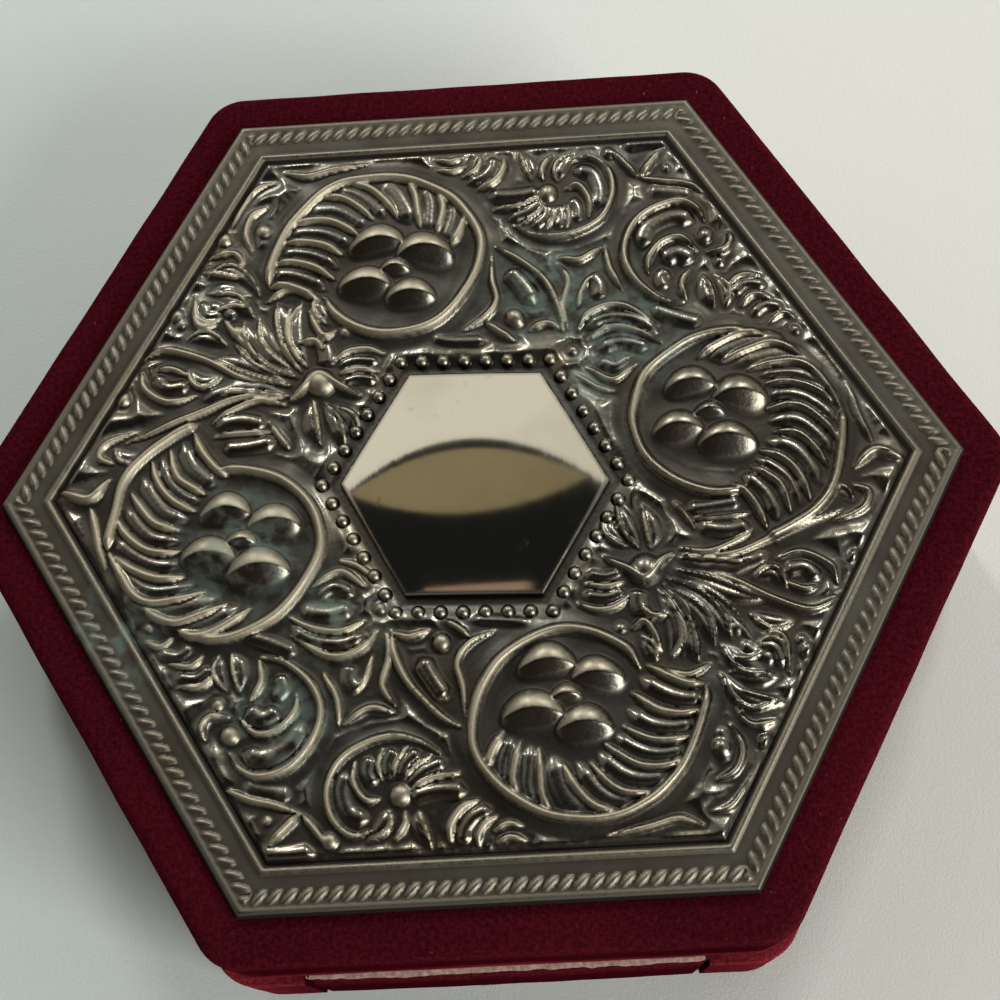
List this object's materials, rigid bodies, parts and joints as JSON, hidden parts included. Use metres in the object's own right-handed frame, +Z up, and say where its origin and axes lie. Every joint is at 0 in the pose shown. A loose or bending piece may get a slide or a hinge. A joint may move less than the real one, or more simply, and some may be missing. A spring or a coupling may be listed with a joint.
{
  "type": "trinket box",
  "caption": "Low hexagonal trinket box covered in dark red velvet, with an embossed silver plaque on its hinged lid, a lined tray and a shallow front drawer.",
  "frame": {"origin": "centre of the flat face that it rests on", "axes": "+X towards a corner of the hexagon, along its longest extent; -Y out of the drawer's front; +Z up"},
  "size_m": [0.1468, 0.1334, 0.044],
  "materials": {
    "velvet": "short dark red velvet pile",
    "satin": "ivory satin lining",
    "felt": "thin dark red felt",
    "board": "plain sanded board",
    "card": "pressed packing",
    "plaque_silver": "silver-plated, embossed, tarnished in the hollows and worn bright on the high spots",
    "hinge_brass": "plain brass, lightly aged"
  },
  "bodies": {
    "base": {"base_felt": "felt", "base_floor": "board", "base_hinge_screws": "hinge_brass", "base_velvet": "velvet", "base_wall_back": "board", "base_wall_back_left": "board", "base_wall_back_right": "board", "base_wall_front": "board", "base_wall_front_left": "board", "base_wall_front_right": "board", "drawer_guide_left": "board", "drawer_guide_right": "board", "hinge_base_leaf_left": "hinge_brass", "hinge_base_leaf_right": "hinge_brass", "hinge_pin_left": "hinge_brass", "hinge_pin_right": "hinge_brass", "tray_floor": "board", "tray_lining": "satin", "tray_pad": "satin"},
    "lid": {"hinge_lid_leaf_left": "hinge_brass", "hinge_lid_leaf_right": "hinge_brass", "lid_hinge_screws": "hinge_brass", "lid_lining": "satin", "lid_pad": "satin", "lid_top_board": "board", "lid_velvet": "velvet", "lid_wall_back": "board", "lid_wall_back_left": "board", "lid_wall_back_right": "board", "lid_wall_front": "board", "lid_wall_front_left": "board", "lid_wall_front_right": "board", "plaque": "plaque_silver", "plaque_packing": "card"},
    "drawer": {"drawer_back": "board", "drawer_bottom": "board", "drawer_front": "board", "drawer_front_trim": "satin", "drawer_front_velvet": "velvet", "drawer_pad": "satin", "drawer_side_left": "board", "drawer_side_right": "board"}
  },
  "joints": [
    {"name": "lid_hinge", "type": "hinge", "parent": "base", "child": "lid", "pos_m": [0, 0.06665, 0.0212], "axis": [-1, 0, 0], "range_deg": [0, 95]},
    {"name": "drawer_slide", "type": "slide", "parent": "base", "child": "drawer", "axis": [0, -1, 0], "range_m": [0, 0.07]}
  ]
}
